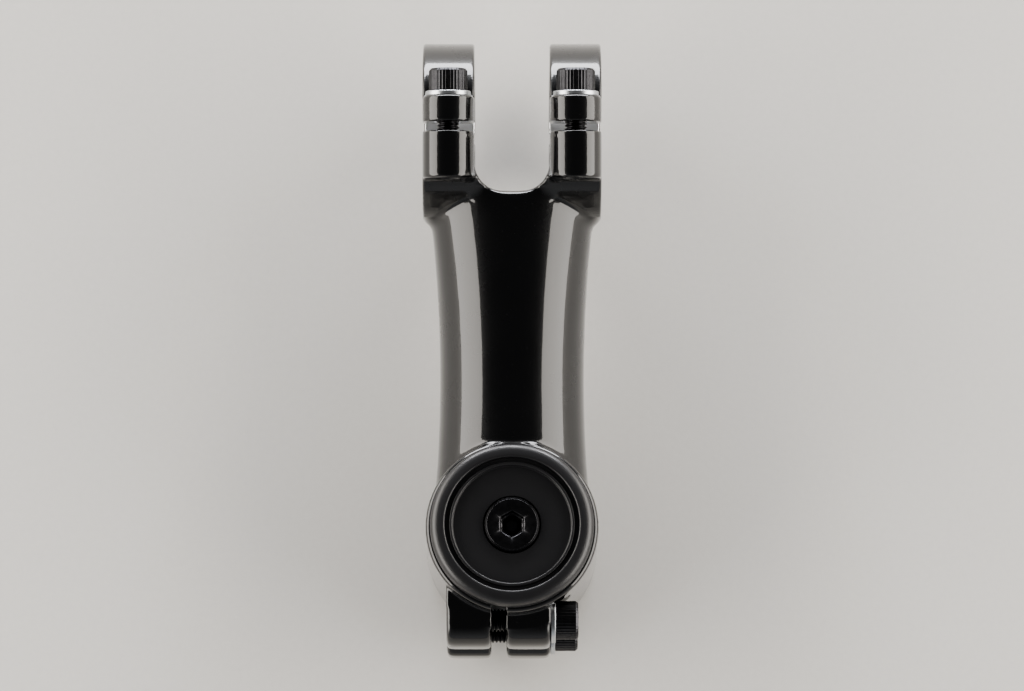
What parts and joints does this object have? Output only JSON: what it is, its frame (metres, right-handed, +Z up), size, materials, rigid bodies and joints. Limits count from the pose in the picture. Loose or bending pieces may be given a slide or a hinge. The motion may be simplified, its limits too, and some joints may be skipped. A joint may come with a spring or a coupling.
{
  "type": "handlebar stem",
  "caption": "Bicycle handlebar stem with a hollow extension, a slotted steerer collar and two separate bar clamp straps held by socket screws.",
  "frame": {"origin": "centre of the steerer bore at the collar's lower face", "axes": "+Z up the steerer's axis, +Y forward along the extension to the handlebar, +X to the rider's right along the handlebar"},
  "size_m": [0.0396, 0.1348, 0.0587],
  "materials": {
    "painted_aluminium": "gloss",
    "anodised_aluminium": "satin",
    "black_steel": "satin",
    "zinc_plated_steel": "satin"
  },
  "bodies": {
    "stem": {"stem_body": "painted_aluminium"},
    "left_strap": {"left_strap": "painted_aluminium"},
    "right_strap": {"right_strap": "painted_aluminium"},
    "bar_washer_lower_left": {"bar_washer_lower_left": "zinc_plated_steel"},
    "bar_bolt_lower_left": {"bar_bolt_lower_left": "black_steel"},
    "bar_washer_upper_left": {"bar_washer_upper_left": "zinc_plated_steel"},
    "bar_bolt_upper_left": {"bar_bolt_upper_left": "black_steel"},
    "bar_washer_lower_right": {"bar_washer_lower_right": "zinc_plated_steel"},
    "bar_bolt_lower_right": {"bar_bolt_lower_right": "black_steel"},
    "bar_washer_upper_right": {"bar_washer_upper_right": "zinc_plated_steel"},
    "bar_bolt_upper_right": {"bar_bolt_upper_right": "black_steel"},
    "pinch_washer_lower": {"pinch_washer_lower": "zinc_plated_steel"},
    "pinch_bolt_lower": {"pinch_bolt_lower": "black_steel"},
    "pinch_washer_upper": {"pinch_washer_upper": "zinc_plated_steel"},
    "pinch_bolt_upper": {"pinch_bolt_upper": "black_steel"},
    "top_cap": {"top_cap": "anodised_aluminium"},
    "cap_bolt": {"cap_bolt": "black_steel"}
  },
  "joints": [
    {"name": "left_strap_lift", "type": "slide", "parent": "stem", "child": "left_strap", "axis": [0, 0.9925, 0.1219], "range_m": [0, 0.03]},
    {"name": "right_strap_lift", "type": "slide", "parent": "stem", "child": "right_strap", "axis": [0, 0.9925, 0.1219], "range_m": [0, 0.03]},
    {"name": "bar_bolt_lower_left_back_out", "type": "slide", "parent": "left_strap", "child": "bar_washer_lower_left", "axis": [0, 0.9925, 0.1219], "range_m": [0, 0.0088]},
    {"name": "bar_bolt_lower_left_turn", "type": "hinge", "parent": "bar_washer_lower_left", "child": "bar_bolt_lower_left", "pos_m": [-0.014, 0.0987, 0.01046], "axis": [0, 0.9925, 0.1219], "range_deg": [0, 3960]},
    {"name": "bar_bolt_upper_left_back_out", "type": "slide", "parent": "left_strap", "child": "bar_washer_upper_left", "axis": [0, 0.9925, 0.1219], "range_m": [0, 0.0088]},
    {"name": "bar_bolt_upper_left_turn", "type": "hinge", "parent": "bar_washer_upper_left", "child": "bar_bolt_upper_left", "pos_m": [-0.014, 0.09346, 0.05314], "axis": [0, 0.9925, 0.1219], "range_deg": [0, 3960]},
    {"name": "bar_bolt_lower_right_back_out", "type": "slide", "parent": "right_strap", "child": "bar_washer_lower_right", "axis": [0, 0.9925, 0.1219], "range_m": [0, 0.0088]},
    {"name": "bar_bolt_lower_right_turn", "type": "hinge", "parent": "bar_washer_lower_right", "child": "bar_bolt_lower_right", "pos_m": [0.014, 0.0987, 0.01046], "axis": [0, 0.9925, 0.1219], "range_deg": [0, 3960]},
    {"name": "bar_bolt_upper_right_back_out", "type": "slide", "parent": "right_strap", "child": "bar_washer_upper_right", "axis": [0, 0.9925, 0.1219], "range_m": [0, 0.0088]},
    {"name": "bar_bolt_upper_right_turn", "type": "hinge", "parent": "bar_washer_upper_right", "child": "bar_bolt_upper_right", "pos_m": [0.014, 0.09346, 0.05314], "axis": [0, 0.9925, 0.1219], "range_deg": [0, 3960]},
    {"name": "pinch_bolt_lower_back_out", "type": "slide", "parent": "stem", "child": "pinch_washer_lower", "axis": [1, 0, 0], "range_m": [0, 0.0072]},
    {"name": "pinch_bolt_lower_turn", "type": "hinge", "parent": "pinch_washer_lower", "child": "pinch_bolt_lower", "pos_m": [0.0086, -0.0195, 0.01], "axis": [1, 0, 0], "range_deg": [0, 3240]},
    {"name": "pinch_bolt_upper_back_out", "type": "slide", "parent": "stem", "child": "pinch_washer_upper", "axis": [1, 0, 0], "range_m": [0, 0.0072]},
    {"name": "pinch_bolt_upper_turn", "type": "hinge", "parent": "pinch_washer_upper", "child": "pinch_bolt_upper", "pos_m": [0.0086, -0.0195, 0.03], "axis": [1, 0, 0], "range_deg": [0, 3240]},
    {"name": "top_cap_lift", "type": "slide", "parent": "stem", "child": "top_cap", "axis": [0, 0, 1], "range_m": [0, 0.01201]},
    {"name": "cap_bolt_turn", "type": "hinge", "parent": "top_cap", "child": "cap_bolt", "pos_m": [0, 0, 0.04], "axis": [0, 0, 1], "range_deg": [0, 4320]}
  ],
  "couplings": [
    {"joint": "bar_bolt_lower_left_back_out", "follows": "bar_bolt_lower_left_turn", "m_per_rad": 0.00012732},
    {"joint": "bar_bolt_upper_left_back_out", "follows": "bar_bolt_upper_left_turn", "m_per_rad": 0.00012732},
    {"joint": "bar_bolt_lower_right_back_out", "follows": "bar_bolt_lower_right_turn", "m_per_rad": 0.00012732},
    {"joint": "bar_bolt_upper_right_back_out", "follows": "bar_bolt_upper_right_turn", "m_per_rad": 0.00012732},
    {"joint": "pinch_bolt_lower_back_out", "follows": "pinch_bolt_lower_turn", "m_per_rad": 0.00012732},
    {"joint": "pinch_bolt_upper_back_out", "follows": "pinch_bolt_upper_turn", "m_per_rad": 0.00012732},
    {"joint": "top_cap_lift", "follows": "cap_bolt_turn", "m_per_rad": 0.00015915}
  ]
}
